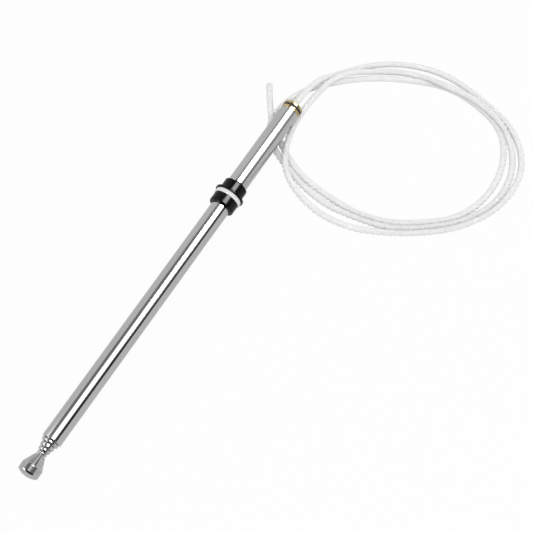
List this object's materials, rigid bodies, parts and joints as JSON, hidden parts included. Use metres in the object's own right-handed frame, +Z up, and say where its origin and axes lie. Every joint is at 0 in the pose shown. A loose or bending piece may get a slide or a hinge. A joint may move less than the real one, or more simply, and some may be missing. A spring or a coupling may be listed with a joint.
{
  "type": "telescopic antenna",
  "caption": "Collapsed telescopic vehicle antenna mast: nested chromed steel tubes with a button tip, a sliding black gland, a brass contact and a loose coil of white nylon drive cord.",
  "frame": {"origin": "middle of the mast's length, under its axis, on the surface that the gland's flange lies on", "axes": "+X along the mast from its base to its finial, the way it extends; +Z up; the cord's coil lies towards +Y"},
  "size_m": [0.3073, 0.1439, 0.0166],
  "materials": {
    "tube_steel": "bright chromed steel tube, fine drawn lines along it",
    "finial_chrome": "bright chromed turned button",
    "brass": "turned brass, satin",
    "bronze": "thin spring bronze",
    "seal_rubber": "matt black rubber",
    "gland_black": "smooth black moulded nylon",
    "washer_white": "white nylon",
    "cord_nylon": "translucent white nylon"
  },
  "bodies": {
    "outer": {"outer_tube": "tube_steel", "base_contact": "brass", "contact_seal": "seal_rubber", "cord_lead": "cord_nylon", "cord_coil": "cord_nylon", "cord_tail": "cord_nylon"},
    "gland": {"gland_bush": "gland_black", "gland_washer": "washer_white"},
    "section_2": {"section_2_tube": "tube_steel", "section_2_stop_bush": "brass", "section_2_spring": "bronze"},
    "section_3": {"section_3_tube": "tube_steel", "section_3_stop_bush": "brass", "section_3_spring": "bronze"},
    "section_4": {"section_4_tube": "tube_steel", "section_4_stop_bush": "brass", "section_4_spring": "bronze"},
    "section_5": {"section_5_tube": "tube_steel", "section_5_stop_bush": "brass", "section_5_spring": "bronze"},
    "rod": {"mast_rod": "tube_steel", "rod_stop_bush": "brass", "rod_spring": "bronze", "finial": "finial_chrome", "cord_ferrule": "brass", "cord_stub": "cord_nylon"}
  },
  "joints": [
    {"name": "gland_slide", "type": "slide", "parent": "outer", "child": "gland", "axis": [1, 0, 0], "range_m": [0, 0.1465]},
    {"name": "section_2_slide", "type": "slide", "parent": "outer", "child": "section_2", "axis": [1, 0, 0], "range_m": [0, 0.1853]},
    {"name": "section_3_slide", "type": "slide", "parent": "section_2", "child": "section_3", "axis": [1, 0, 0], "range_m": [0, 0.1853]},
    {"name": "section_4_slide", "type": "slide", "parent": "section_3", "child": "section_4", "axis": [1, 0, 0], "range_m": [0, 0.1853]},
    {"name": "section_5_slide", "type": "slide", "parent": "section_4", "child": "section_5", "axis": [1, 0, 0], "range_m": [0, 0.1853]},
    {"name": "rod_slide", "type": "slide", "parent": "section_5", "child": "rod", "axis": [1, 0, 0], "range_m": [0, 0.1853]}
  ]
}
